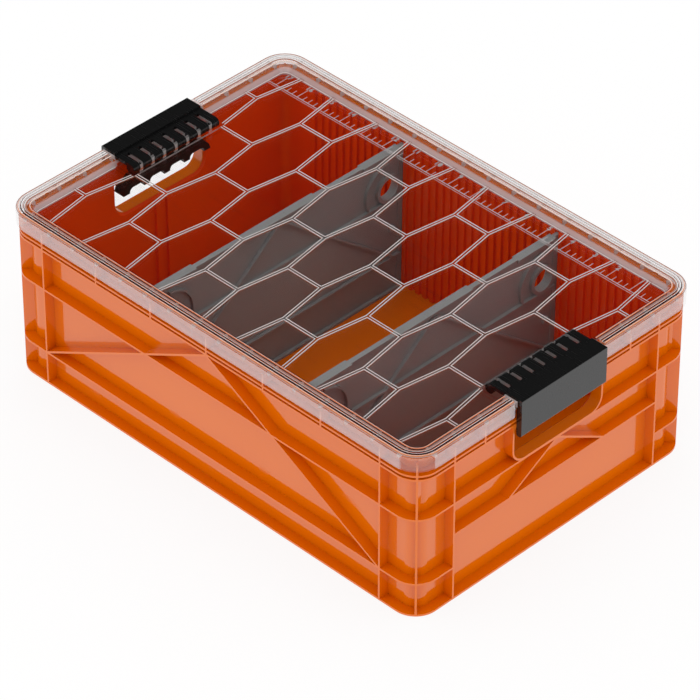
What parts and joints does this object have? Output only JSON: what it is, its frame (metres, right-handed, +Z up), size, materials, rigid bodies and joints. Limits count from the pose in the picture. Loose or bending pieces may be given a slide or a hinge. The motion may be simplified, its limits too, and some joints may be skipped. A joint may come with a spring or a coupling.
{
  "type": "storage crate",
  "caption": "Ribbed plastic storage crate with a clear lid, hinged snap latches, hand holes with finger grips and lift-out dividers in slots.",
  "frame": {"origin": "middle of the closed crate's footprint, on the surface it stands on", "axes": "+X along the crate's long side towards the right carrying end, +Y across it, +Z up"},
  "size_m": [0.4826, 0.3236, 0.1648],
  "materials": {
    "crate_plastic": "glossy moulded orange plastic",
    "clear_plastic": "clear glossy moulded plastic",
    "latch_plastic": "black satin plastic",
    "pin_plastic": "black satin plastic rod",
    "grip_plastic": "black satin plastic",
    "divider_plastic": "grey satin plastic"
  },
  "bodies": {
    "crate": {"crate_body": "crate_plastic", "handle_grip_left": "grip_plastic", "handle_grip_right": "grip_plastic"},
    "lid": {"lid": "clear_plastic", "latch_pin_left": "pin_plastic", "latch_pin_right": "pin_plastic"},
    "latch_left": {"latch_left": "latch_plastic"},
    "latch_right": {"latch_right": "latch_plastic"},
    "divider_left": {"divider_left": "divider_plastic"},
    "divider_right": {"divider_right": "divider_plastic"}
  },
  "joints": [
    {"name": "lid_lift", "type": "slide", "parent": "crate", "child": "lid", "axis": [0, 0, 1], "range_m": [0, 0.32]},
    {"name": "latch_left_hinge", "type": "hinge", "parent": "lid", "child": "latch_left", "pos_m": [-0.206, 0, 0.1583], "axis": [0, 1, 0], "range_deg": [0, 110]},
    {"name": "latch_right_hinge", "type": "hinge", "parent": "lid", "child": "latch_right", "pos_m": [0.206, 0, 0.1583], "axis": [0, -1, 0], "range_deg": [0, 110]},
    {"name": "divider_left_lift", "type": "slide", "parent": "crate", "child": "divider_left", "axis": [0, 0, 1], "range_m": [0, 0.16]},
    {"name": "divider_right_lift", "type": "slide", "parent": "crate", "child": "divider_right", "axis": [0, 0, 1], "range_m": [0, 0.16]}
  ],
  "couplings": [
    {"joint": "divider_left_lift", "follows": "lid_lift", "ratio": 0.5},
    {"joint": "divider_right_lift", "follows": "lid_lift", "ratio": 0.5}
  ]
}
